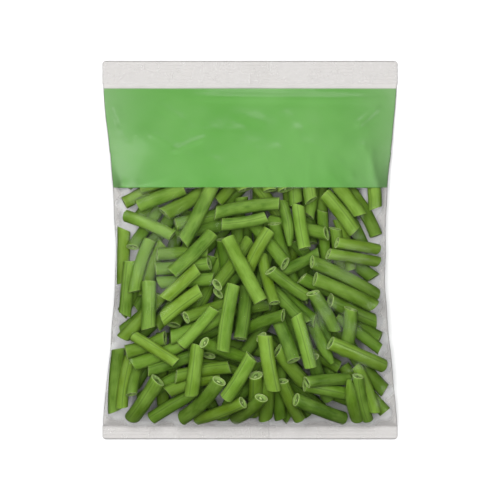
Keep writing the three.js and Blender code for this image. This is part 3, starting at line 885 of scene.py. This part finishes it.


def bean_mesh(bm, layers, piece, tipped, growth):
    """Adds one pod piece to bm: its skin, and at each cut a rounded rim, the flesh and the hollow."""
    at, direction, side = bezier(piece)
    length = distance(piece.points[0], piece.points[2])
    radius = piece.radius
    turn = (math.cos(growth.suture_at), math.sin(growth.suture_at))

    def bulge(t, apart):
        """How a pod's skin swells and shrinks along it and round it."""
        wave = growth.swell[0] * math.sin(t * 9 + growth.waves[0])
        wave += growth.swell[1] * math.sin(t * 15 + 2 * (growth.suture_at + apart) + growth.waves[1])
        return 1 + wave + growth.larger_end * (t - 0.5)

    def slant_at(t):
        """How aslant a ring lies: as the cut does beside it, and square to the pod away from both."""
        start = max(0.0, 1 - t * length / (3 * radius)) * piece.slants[0]
        return start + (0.0 if tipped else max(0.0, 1 - (1 - t) * length / (3 * radius)) * piece.slants[1])

    def ring(t, size, slant, inset=0.0, hollow=None, core=0.0):
        """A ring of points at share t, of the skin or of a hollow, moved inset towards the middle."""
        across, up = section(direction(t), side)
        inward = inset if t < 0.5 else -inset
        wide, narrow = hollow or (1.0, 1.0)
        cut = min(t * length, math.inf if tipped else (1 - t) * length)
        made = []
        for k in range(ROUND):
            apart = 2 * math.pi * k / ROUND
            here = size if hollow else size * bulge(t, apart) - GROOVES.get(k, 0.0)
            round_x, round_y = math.cos(apart), math.sin(apart)
            x = here * (round_x * wide * turn[0] - round_y * narrow * turn[1])
            y = here * (round_x * wide * turn[1] + round_y * narrow * turn[0]) * FLATTENED
            vertex = bm.verts.new((at(t) + across * x + up * y + direction(t) * (x * slant + inward)) * MM)
            values = (t * length + inward, round_x, round_y, growth.tint, growth.warmth, growth.painted_depth_shade)
            for layer, value in zip(layers, (*values, PALE_CUT * math.exp(-cut / PALE_FADE), core)):
                vertex[layer] = value
            made.append(vertex)
        return made

    def cut_rings(end):
        """The rings of a cut, from the floor of its hollow out to its rim."""
        rings = (
            (1.0, HOLLOW_DEEP, HOLLOW_FLOOR, 1.0),
            (1.0, growth.shrunk, HOLLOW, 0.62),
            (0.80, growth.shrunk * 0.6, None, 0.3),
            (0.93, 0.03, None, 0.04),
            (0.985, RIM, None, 0.0),
        )
        return [ring(end, radius * size, piece.slants[end], *rest) for size, *rest in rings]

    def tapered(t):
        return 1 - (1 - TIP_SHARE) * max(0.0, 2 * t - 1) ** 2 if tipped else 1.0

    start = cut_rings(0)
    skin = [ring(t, radius * tapered(t), slant_at(t)) for t in SKIN_SHARES]
    if tipped:
        end = [ring(1, radius * TIP_SHARE * size, 0.0, inset) for size, inset in ((0.8, 0.3), (0.35, 0.0))]
    else:
        end = cut_rings(1)[::-1]
    rings = start + skin + end
    last = len(rings) - 1
    for n in range(last):
        flesh = n < len(start) - 1 or (not tipped and n > last - len(start))
        for k in range(ROUND):
            beside = (k + 1) % ROUND
            face = bm.faces.new((rings[n][k], rings[n][beside], rings[n + 1][beside], rings[n + 1][k]))
            face.material_index = int(flesh)
            face.smooth = True
    bm.faces.new(rings[0][::-1]).material_index = 1
    bm.faces.new(rings[-1]).material_index = 0 if tipped else 1


def add_object(name, bm, *materials):
    """Turns bm into an object of that name."""
    bmesh.ops.recalc_face_normals(bm, faces=bm.faces)
    mesh = bpy.data.meshes.new(name)
    bm.to_mesh(mesh)
    bm.free()
    for material in materials:
        mesh.materials.append(material)
    return in_scene(name, mesh)


def make_beans(owners):
    skin = bean_skin()
    flesh = bean_flesh()
    for node in sorted(set(owners)):
        bm = bmesh.new()
        layers = [bm.verts.layers.float.new(name) for name in LAYERS]
        for number, piece in enumerate(pieces):
            if owners[number] == node:
                bean_mesh(bm, layers, piece, number in TIPPED, Growth(number))
        holder = add_object("cut_" + node, bm, skin, flesh)
        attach(holder, ROOT)
        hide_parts(node)


def make_seeds():
    """The seeds that show in the cut ends, each a small egg that lies along its pod's broad way."""
    bm = bmesh.new()
    for number, piece in enumerate(pieces):
        growth = Growth(number)
        at, direction, side = bezier(piece)
        for end in (0, 1):
            if not growth.has_seed[end] or (end and number in TIPPED):
                continue
            across, up = section(direction(end), side)
            broad = across * math.cos(growth.suture_at) + up * math.sin(growth.suture_at)
            thin = up * math.cos(growth.suture_at) - across * math.sin(growth.suture_at)
            inward = -direction(end) if end else direction(end)
            shifted = broad * (growth.seed_shift[end] * piece.radius)
            centre = at(end) + inward * (HOLLOW_DEEP + SEED_SUNK) + shifted
            wide, high = (half * piece.radius for half in SEED_HALF)
            made = bmesh.ops.create_uvsphere(bm, u_segments=14, v_segments=9, radius=1)
            for vertex in made["verts"]:
                x, y, z = vertex.co
                vertex.co = (centre + broad * (x * wide) + thin * (y * high) + inward * (z * SEED_DEEP)) * MM
    for face in bm.faces:
        face.smooth = True
    holder = add_object("seeds", bm, seed_flesh())
    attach(holder, ROOT)


# Film

FILM_STEP = 1.2  # millimetres between the film's rows and columns
OFF_BEANS = 0.35  # the least gap between the film and a bean's skin
RELAX = 500
SAG = 0.002
ALONG_PIECE = 40  # steps along a piece, for the height of its skin
GAP_CELLS = 5  # film cells from a bean to the middle of a gap that still counts as covered
BAND_LOW = 38.4
BAND_HIGH = 100.4
CORNER = 2.0  # radius of the bag's four corners
SIDE_NOTCH = 0.45  # how far the sides step in between the seals
FOLD_OUT = 0.3  # how far the fold along each side stands out past the last column
RIPPLE = 1.1
HELD_RIPPLE = 0.12  # the share of the ripples that is left where the film lies on a bean
SLACK_FROM = 4.0  # millimetres off the beans, from where the film ripples in full
SEAL_CREASE = 0.2  # the share of a crease that goes on into a seal
BACK_RIPPLE = 0.4
BACK_SHIFT = 40.0
BAND_CALM = 0.5  # how much smaller the ripples are in the stiffer printed band
BAND_BLEND = 12.0
RIPPLE_SEED = 77
RIPPLE_WAVES = 14
EDGE_HALF = 0.35  # half the height of the fold along each side


def side_at(side, y):
    """The film's half-width on one side: the bag's own, and how this film's sides stray from it."""
    wander = 0.25 * math.sin(y / 11.0 + side) + 0.2 * math.sin(y / 5.3 + 2 * side)
    wander *= 4 * along(y) * (1 - along(y))
    notch = SIDE_NOTCH if SEAL_LOW < y < SEAL_HIGH - 0.5 else 0.0
    corner = max(0.0, 1 - (BAG_LENGTH / 2 - abs(y)) / CORNER)
    notch += CORNER * (1 - math.sqrt(1 - corner * corner))
    return half_width(y) + wander + (0.35 * side if y < 60 else 0.0) * along(y) - notch


def bean_tops(xs, ys):
    """The height of the highest bean skin, and of the lowest, under each film point."""
    top = np.zeros(xs.shape)
    low = np.full(xs.shape, 99.0)
    for piece in pieces:
        at, _, _ = bezier(piece)
        for n in range(ALONG_PIECE + 1):
            x, y, z = at(n / ALONG_PIECE)
            radius = piece.radius
            rows = slice(*np.searchsorted(ys[:, 0], [y - radius, y + radius]))
            square = radius * radius - (xs[rows] - x) ** 2 - (ys[rows] - y) ** 2
            height = np.sqrt(np.maximum(square, 0)) * FLATTENED
            top[rows] = np.where(square > 0, np.maximum(top[rows], z + height), top[rows])
            low[rows] = np.where(square > 0, np.minimum(low[rows], z - height), low[rows])
    return top, low


# Creases that the pull of the filling leaves in the film, as (x, y, x, y, height, width), in millimetres.
CREASES = [
    (-43, 95.0, 93, 93.5, 1.1, 3.0),
    (-84, 91, -79, 74, 1.1, 2.4),
    (-80, 74, -74, 66, 0.5, 2.0),
    (-50, 60, -26, 70, 0.8, 1.8),
    (-60, 92, -38, 78, 0.5, 3.0),
    (82, 91, 64, 75, 1.1, 2.4),
    (75, 66, 76, 39, 0.5, 2.2),
    (20, 88, 34, 60, 0.5, 4.0),
    (-10, 85, 12, 78, 0.4, 3.0),
    (-88, 60, -70, 20, 0.6, 2.5),
    (86, 10, 78, -30, 0.6, 2.0),
    (-86, -20, -78, -60, 0.6, 2.0),
    (-60, -104, -78, -80, 0.7, 2.4),
    (55, -104, 76, -82, 0.7, 2.4),
    (-25, -108, -30, -98, 0.5, 2.0),
    (20, -108, 24, -100, 0.5, 2.0),
]


def crease_height(xs, ys):
    """How far the creases lift the film at each point."""
    lifted = np.zeros(xs.shape)
    for x0, y0, x1, y1, height, width in CREASES:
        dx, dy = x1 - x0, y1 - y0
        share = ((xs - x0) * dx + (ys - y0) * dy) / (dx * dx + dy * dy)
        inside = np.clip(share, 0, 1)
        off = np.hypot(xs - x0 - dx * inside, ys - y0 - dy * inside)
        fade = np.clip(np.minimum(inside, 1 - inside) * 5, 0.15, 1)
        lifted += height * fade * np.exp(-((off / width) ** 2))
    return lifted


def spread_out(mask, steps):
    """A mask grown by steps cells each way, or shrunk where steps is negative."""
    grown = mask.astype(float)
    pick = np.maximum if steps > 0 else np.minimum
    past_edge = "edge" if steps > 0 else "constant"
    for n in range(abs(steps)):
        padded = np.pad(grown, 1, mode=past_edge)
        sides = pick(pick(padded[:-2, 1:-1], padded[2:, 1:-1]), pick(padded[1:-1, :-2], padded[1:-1, 2:]))
        if n % 2:
            corners = pick(pick(padded[:-2, :-2], padded[2:, 2:]), pick(padded[:-2, 2:], padded[2:, :-2]))
            sides = pick(sides, corners)
        grown = pick(grown, sides)
    return grown


def beside(grid):
    """The four neighbours of each inner cell, added up."""
    return grid[:-2, 1:-1] + grid[2:, 1:-1] + grid[1:-1, :-2] + grid[1:-1, 2:]


def softened(grid):
    return (beside(np.pad(grid, 1, mode="edge")) + grid) / 5


def closed(mask):
    """A mask with its narrow gaps filled, but not those at the grid's edge, from 0 to 1 with a soft edge."""
    filled_in = spread_out(spread_out(mask, GAP_CELLS + 1), -GAP_CELLS)
    return softened(np.maximum(filled_in, spread_out(mask, 1)))


def ripples(xs, ys):
    """Small waves of slack film: a sum of a few sines of seeded direction and length."""
    rng = np.random.default_rng(RIPPLE_SEED)
    total = np.zeros(xs.shape)
    for _ in range(RIPPLE_WAVES):
        angle = rng.uniform(0, math.pi)
        wave = rng.uniform(9, 26)
        phase = rng.uniform(0, 2 * math.pi)
        bend = rng.uniform(0.2, 0.6)
        along_wave = xs * math.cos(angle) + ys * math.sin(angle)
        cross = ys * math.cos(angle) - xs * math.sin(angle)
        total += np.sin(2 * math.pi * along_wave / wave + phase + bend * np.sin(cross / 19.0 + phase))
    return total / RIPPLE_WAVES


CRIMP_PITCH = 2.2
CRIMP_HEIGHT = 0.11
RIB_STEP = 0.37  # millimetres between rows over the ribs
RIB_START = 0.2
SHEET = 0.12  # half the visual thickness of the sealed film
BACK_REST = 0.45  # how far the back film stands above the surface, over the fold of its own seam


def crimp_height(y):
    """The ribs that the sealing jaws leave across both ends."""
    if SEAL_LOW < y < SEAL_HIGH:
        return 0.0
    return CRIMP_HEIGHT * math.sin(2 * math.pi * y / CRIMP_PITCH)


class Drape:
    """The film as two grids of points, front and back, that meet at the sides: drawn over the beans."""

    def __init__(self):
        count = int(BAG_WIDTH / FILM_STEP) | 1
        rows = int((SEAL_HIGH - SEAL_LOW) / FILM_STEP)
        first = BAG_LENGTH / 2 - RIB_START
        ribs = [*np.arange(first, SEAL_HIGH, -RIB_STEP), *np.arange(-first, SEAL_LOW, RIB_STEP)]
        body = np.linspace(SEAL_LOW, SEAL_HIGH, rows)
        self.levels = sorted({-BAG_LENGTH / 2, BAG_LENGTH / 2, BAND_LOW, BAND_HIGH, *body, *ribs})
        spread = np.linspace(-1, 1, count)

        def by_row(rule):
            return np.array([rule(y) for y in self.levels])[:, None]

        def by_cell(rule):
            return np.array([[rule(u, y) for u in spread] for y in self.levels])

        self.ys = by_cell(lambda u, y: y)
        self.xs = by_cell(lambda u, y: side_at(1 if u > 0 else -1, y) * u)
        self.edge = by_row(edge_height)
        dome = by_cell(front_height)
        under = by_cell(back_height)
        filled = np.clip(by_row(fullness) * 4, 0, 1)
        sealed = by_row(lambda y: y >= SEAL_HIGH or y <= SEAL_LOW)
        self.top, low = bean_tops(self.xs, self.ys)
        held_up = self.top + OFF_BEANS
        fixed = sealed | (np.abs(spread)[None, :] == 1)
        rest = np.where(sealed, FILM + SHEET, self.edge + EDGE_HALF) + np.zeros(dome.shape)
        front = np.where(fixed, rest, np.maximum(dome - FILM, held_up))
        for _ in range(RELAX):
            relaxed = np.maximum(beside(front) / 4 - SAG, held_up[1:-1, 1:-1])
            front[1:-1, 1:-1] = np.where(fixed[1:-1, 1:-1], rest[1:-1, 1:-1], relaxed)
        standing = np.where(self.top > 0, front - held_up, 99.0)
        free = np.clip(standing / SLACK_FROM, HELD_RIPPLE, 1) * filled * (1 - spread**8) * ~sealed
        free *= 1 - BAND_CALM * np.clip((self.ys - BAND_LOW) / BAND_BLEND, 0, 1)
        wrinkled = crease_height(self.xs, self.ys) * np.where(sealed, SEAL_CREASE, 1) * (1 - spread**16)
        front = front + wrinkled + RIPPLE * ripples(self.xs, self.ys) * free
        waves = np.abs(ripples(self.xs + BACK_SHIFT, self.ys))
        back = under + BACK_REST + BACK_RIPPLE * waves * filled * np.abs(spread)
        back = np.minimum(np.minimum(back, low - OFF_BEANS), self.edge - EDGE_HALF * np.abs(spread) ** 8)
        back = np.where(sealed, FILM - SHEET, back)
        crimps = by_row(crimp_height)
        self.front = np.maximum(front, back + 2 * SHEET) + crimps
        self.back = back + crimps
        self.bare = 1 - closed(self.top > 0)

    def loop(self, inset, rows):
        """Points round the bag at the given rows: across the front to +X, and back to -X behind."""
        fold = (self.edge[rows] + (self.front[rows, :1] + self.back[rows, :1]) / 2) / 2
        xs, ys = self.xs[rows], self.ys[rows]
        front, back = self.front[rows] - inset, self.back[rows] + inset
        x = np.hstack([xs, xs[:, -1:] + FOLD_OUT - inset, xs[:, ::-1], xs[:, :1] - FOLD_OUT + inset])
        y = np.hstack([ys, ys[:, :1], ys, ys[:, :1]])
        z = np.hstack([front, fold, back[:, ::-1], fold])
        return np.stack([x, y, z], axis=-1) * MM

    def around(self, front, back, side):
        """Values at the points of loop(), from those on the front and back grids and at the sides."""
        edges = np.full((len(front), 1), side)
        return np.hstack([front, edges, back[:, ::-1], edges])


def add_tube(bm, points, outward=True):
    """Adds rows of points as a tube. Returns its vertices, row by row."""
    made = [[bm.verts.new(p) for p in row] for row in points]
    count = len(made[0])
    for one, two in zip(made, made[1:]):
        for k in range(count):
            n = (k + 1) % count
            corners = (one[k], one[n], two[n], two[k])
            bm.faces.new(corners if outward else corners[::-1]).smooth = True
    return made


def close_flat(bm, row, columns, folds):
    """Closes the mouth of a tube whose front and back lie on each other; folds is 1 if each has a point."""
    last = len(row) - 1 - folds
    for k in range(columns - 1):
        bm.faces.new((row[k], row[k + 1], row[last - 1 - k], row[last - k]))
    if folds:
        bm.faces.new(row[columns - 1 : columns + 2])
        bm.faces.new((row[0], row[-2], row[-1]))


HAZE_NEAR = 0.002  # share of milky film where it lies on a bean
HAZE_FAR = 0.5  # and where it stands well off them
HAZE_SEAL = 0.36
HAZE_SEAM = 0.08
HAZE_HEAP_SHADE = 0.4  # painted shade: the back under the beans, made milky and dark so the gaps in the heap look deep
HEAP_CELLS = 9  # film cells that close the gaps in the heap
HEAP_INSET = 5  # and how many cells inside the heap's outline the painted shade begins
HAZE_FOLD = 0.85  # along the sides, and at the cut edges, which are also coloured grey as painted shade
HAZE_OVER_INK = 0.004
SIDE_PAINTED_SHEEN = 0.08  # painted sheen: more milky film over the ink towards the sides, where the film turns away


def film_haze(drape):
    """How milky the film is, at the points of its loop, and where it has painted shade: on the back, under
    the beans.
    """
    ys = drape.ys
    haze = HAZE_NEAR + (HAZE_FAR - HAZE_NEAR) * drape.bare
    # painted sheen: the band is made paler towards the sides, as gloss would show there
    over_ink = HAZE_OVER_INK + SIDE_PAINTED_SHEEN * (np.abs(drape.xs) / half_width(0.0)) ** 4
    haze = np.where((ys > BAND_LOW) & (ys < BAND_HIGH), over_ink, haze)
    haze = np.where((ys >= SEAL_HIGH) | (ys <= SEAL_LOW), HAZE_SEAL, haze)
    haze[:2] = haze[-2:] = HAZE_FOLD  # the cut edges show as thin grey lines of painted shade
    # painted shade: the back film under the heap, inside its outline, is made milky and dark
    heap = spread_out(spread_out(drape.top > 0, HEAP_CELLS), -HEAP_CELLS - HEAP_INSET)
    wet = softened(heap) * (ys < BAND_LOW)
    back = haze + (HAZE_HEAP_SHADE - haze) * wet
    return drape.around(haze, back, HAZE_FOLD), drape.around(0 * wet, wet, 0.0)


def make_film(drape):
    bm = bmesh.new()
    layers = [bm.verts.layers.float.new(name) for name in ("haze", "wet")]
    rows = add_tube(bm, drape.loop(0.0, np.arange(len(drape.levels))))
    for layer, grid in zip(layers, film_haze(drape)):
        for row, values in zip(rows, grid):
            for vertex, value in zip(row, values):
                vertex[layer] = value
    for row in (rows[0], rows[-1]):
        close_flat(bm, row, drape.xs.shape[1], 1)
    holder = add_object("bag_film", bm, film_plastic())
    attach(holder, ROOT)
    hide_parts("film_bag")


INK_IN = 0.1  # how far inside the film's outer face the ink lies
INK_THICK = 0.08


def make_print(drape):
    """The header band: a thin closed layer on the film's inner face, all round the bag."""
    band = [n for n, y in enumerate(drape.levels) if BAND_LOW <= y <= BAND_HIGH]
    bm = bmesh.new()
    outer = add_tube(bm, drape.loop(INK_IN, band))
    inner = add_tube(bm, drape.loop(INK_IN + INK_THICK, band), outward=False)
    for one, two in ((outer[0], inner[0]), (inner[-1], outer[-1])):
        for k in range(len(one)):
            n = (k + 1) % len(one)
            bm.faces.new((one[n], one[k], two[k], two[n]))
    holder = add_object("header_print", bm, header_ink())
    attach(holder, ROOT)


SEAM_WIDTH = 12.0  # of the seam's flap, which lies folded to one side on the back
SEAM_GAP = 0.07
SEAM_THICK = 0.2
SEAM_COLUMNS = 13
SEAM_WAVE = 0.03
SEAM_JOIN = 0.01


def make_seam(drape):
    """The lengthwise seam of the back: two layers of film sealed to each other in a fin, folded flat."""
    bm = bmesh.new()
    haze = bm.verts.layers.float.new("haze")
    middle = drape.xs.shape[1] // 2
    xs = np.linspace(0, SEAM_WIDTH, SEAM_COLUMNS)
    rows = []
    for n, y in enumerate(drape.levels):
        top = np.interp(xs, drape.xs[n, middle:], drape.back[n, middle:]) - SEAM_GAP
        top = np.minimum(top, top[0]) + SEAM_WAVE * np.sin(xs * 2.4 + y / 9)
        top[0] = drape.back[n, middle] - SEAM_JOIN
        outer = [(x, y, z) for x, z in zip(xs, top)]
        inner = [(x, y, z - SEAM_THICK) for x, z in zip(xs[::-1], top[::-1])]
        rows.append([Vector(p) * MM for p in outer + inner])
    made = add_tube(bm, rows)
    for vertex in bm.verts:
        vertex[haze] = HAZE_SEAM
    for row in (made[0], made[-1]):
        close_flat(bm, row, SEAM_COLUMNS, 0)
    for face in bm.faces:
        y = face.calc_center_median().y / MM
        face.material_index = 1 if BAND_LOW < y < BAND_HIGH else 0
    holder = add_object("back_seam", bm, bpy.data.materials["film"], bpy.data.materials["header_print"])
    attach(holder, ROOT)


make_camera()
make_stage()
make_beans(nodes_of_pieces())
make_seeds()
drape = Drape()
make_film(drape)
make_print(drape)
make_seam(drape)
